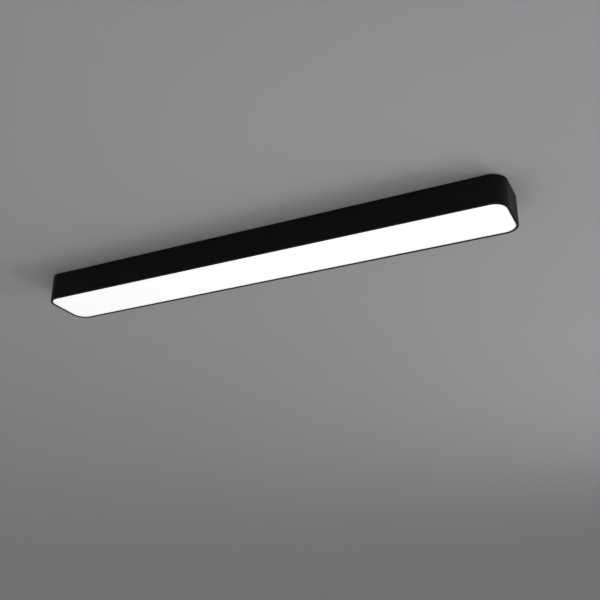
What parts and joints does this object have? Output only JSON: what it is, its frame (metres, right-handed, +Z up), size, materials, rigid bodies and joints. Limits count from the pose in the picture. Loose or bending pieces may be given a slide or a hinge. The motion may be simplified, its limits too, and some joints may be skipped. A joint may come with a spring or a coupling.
{
  "type": "linear ceiling light",
  "caption": "Long ceiling light: a black ring housing with rounded corners and an opal diffuser, held by spring clips over a steel plate that carries LED strips and driver.",
  "frame": {"origin": "middle of the ceiling plate's top face, on the ceiling plane", "axes": "+X along the light, away from the mains end; +Z up, out of the ceiling face; +Y completes the set"},
  "size_m": [1.2, 0.145, 0.07],
  "materials": {
    "black_powder_coat": "matt black powder coat on sheet steel",
    "opal_acrylic": "opal, lit evenly from behind",
    "grey_foam": "soft foam strip",
    "white_enamel": "white stove enamel on sheet steel",
    "zinc_steel": "bright zinc plate",
    "spring_steel": "bare spring steel",
    "white_circuit_board": "white solder mask with yellow-white LED chips",
    "green_circuit_board": "green solder mask",
    "white_plastic": "moulded, satin",
    "grey_plastic": "moulded, satin",
    "orange_plastic": "moulded, satin",
    "black_rubber": "soft, matt",
    "copper_and_ferrite": "lacquered winding on a dark core",
    "capacitor_sleeve": "shrink sleeve",
    "tinned_copper": "bright tin plate",
    "brown_lead": "cable insulation",
    "blue_lead": "cable insulation",
    "green_lead": "cable insulation",
    "red_lead": "cable insulation",
    "black_lead": "cable insulation"
  },
  "bodies": {
    "ceiling_base": {"black_feed_front": "black_lead", "black_feed_rear": "black_lead", "black_jumper_front": "black_lead", "black_jumper_rear": "black_lead", "cable_clamp": "white_plastic", "cable_grommet": "black_rubber", "ceiling_plate": "white_enamel", "clamp_screw_front": "zinc_steel", "clamp_screw_rear": "zinc_steel", "driver_board": "green_circuit_board", "driver_capacitor": "capacitor_sleeve", "driver_lid": "white_plastic", "driver_screw_left": "zinc_steel", "driver_screw_right": "zinc_steel", "driver_transformer": "copper_and_ferrite", "driver_tub": "white_plastic", "earth_lead": "green_lead", "earth_lug": "tinned_copper", "earth_screw": "zinc_steel", "led_strip_front_left": "white_circuit_board", "led_strip_front_right": "white_circuit_board", "led_strip_rear_left": "white_circuit_board", "led_strip_rear_right": "white_circuit_board", "live_lead": "brown_lead", "neutral_lead": "blue_lead", "red_feed_front": "red_lead", "red_feed_rear": "red_lead", "red_jumper_front": "red_lead", "red_jumper_rear": "red_lead", "spring_clip_front_left": "spring_steel", "spring_clip_front_right": "spring_steel", "spring_clip_rear_left": "spring_steel", "spring_clip_rear_right": "spring_steel", "strip_connector_front_left": "white_plastic", "strip_connector_front_right": "white_plastic", "strip_connector_rear_left": "white_plastic", "strip_connector_rear_right": "white_plastic", "strip_screw_front_left_inner": "zinc_steel", "strip_screw_front_left_outer": "zinc_steel", "strip_screw_front_right_inner": "zinc_steel", "strip_screw_front_right_outer": "zinc_steel", "strip_screw_rear_left_inner": "zinc_steel", "strip_screw_rear_left_outer": "zinc_steel", "strip_screw_rear_right_inner": "zinc_steel", "strip_screw_rear_right_outer": "zinc_steel", "terminal_block": "white_plastic"},
    "housing": {"diffuser": "opal_acrylic", "diffuser_gasket": "grey_foam", "end_bracket_left": "zinc_steel", "end_bracket_right": "zinc_steel", "front_bracket_left": "zinc_steel", "front_bracket_right": "zinc_steel", "housing_ring": "black_powder_coat", "rear_bracket_left": "zinc_steel", "rear_bracket_right": "zinc_steel"},
    "live_release": {"live_release_button": "orange_plastic"},
    "neutral_release": {"neutral_release_button": "orange_plastic"},
    "earth_release": {"earth_release_button": "orange_plastic"},
    "colour_selector": {"selector_knob": "grey_plastic"}
  },
  "joints": [
    {"name": "housing_drop", "type": "slide", "parent": "ceiling_base", "child": "housing", "axis": [0, 0, -1], "range_m": [0, 0.075]},
    {"name": "live_release_press", "type": "slide", "parent": "ceiling_base", "child": "live_release", "axis": [0, 0, 1], "range_m": [0, 0.0015], "stiffness_N_per_m": 1500, "springref_m": -0.0006},
    {"name": "neutral_release_press", "type": "slide", "parent": "ceiling_base", "child": "neutral_release", "axis": [0, 0, 1], "range_m": [0, 0.0015], "stiffness_N_per_m": 1500, "springref_m": -0.0006},
    {"name": "earth_release_press", "type": "slide", "parent": "ceiling_base", "child": "earth_release", "axis": [0, 0, 1], "range_m": [0, 0.0015], "stiffness_N_per_m": 1500, "springref_m": -0.0006},
    {"name": "colour_select", "type": "slide", "parent": "ceiling_base", "child": "colour_selector", "axis": [1, 0, 0], "range_m": [-0.0025, 0.0025]}
  ]
}
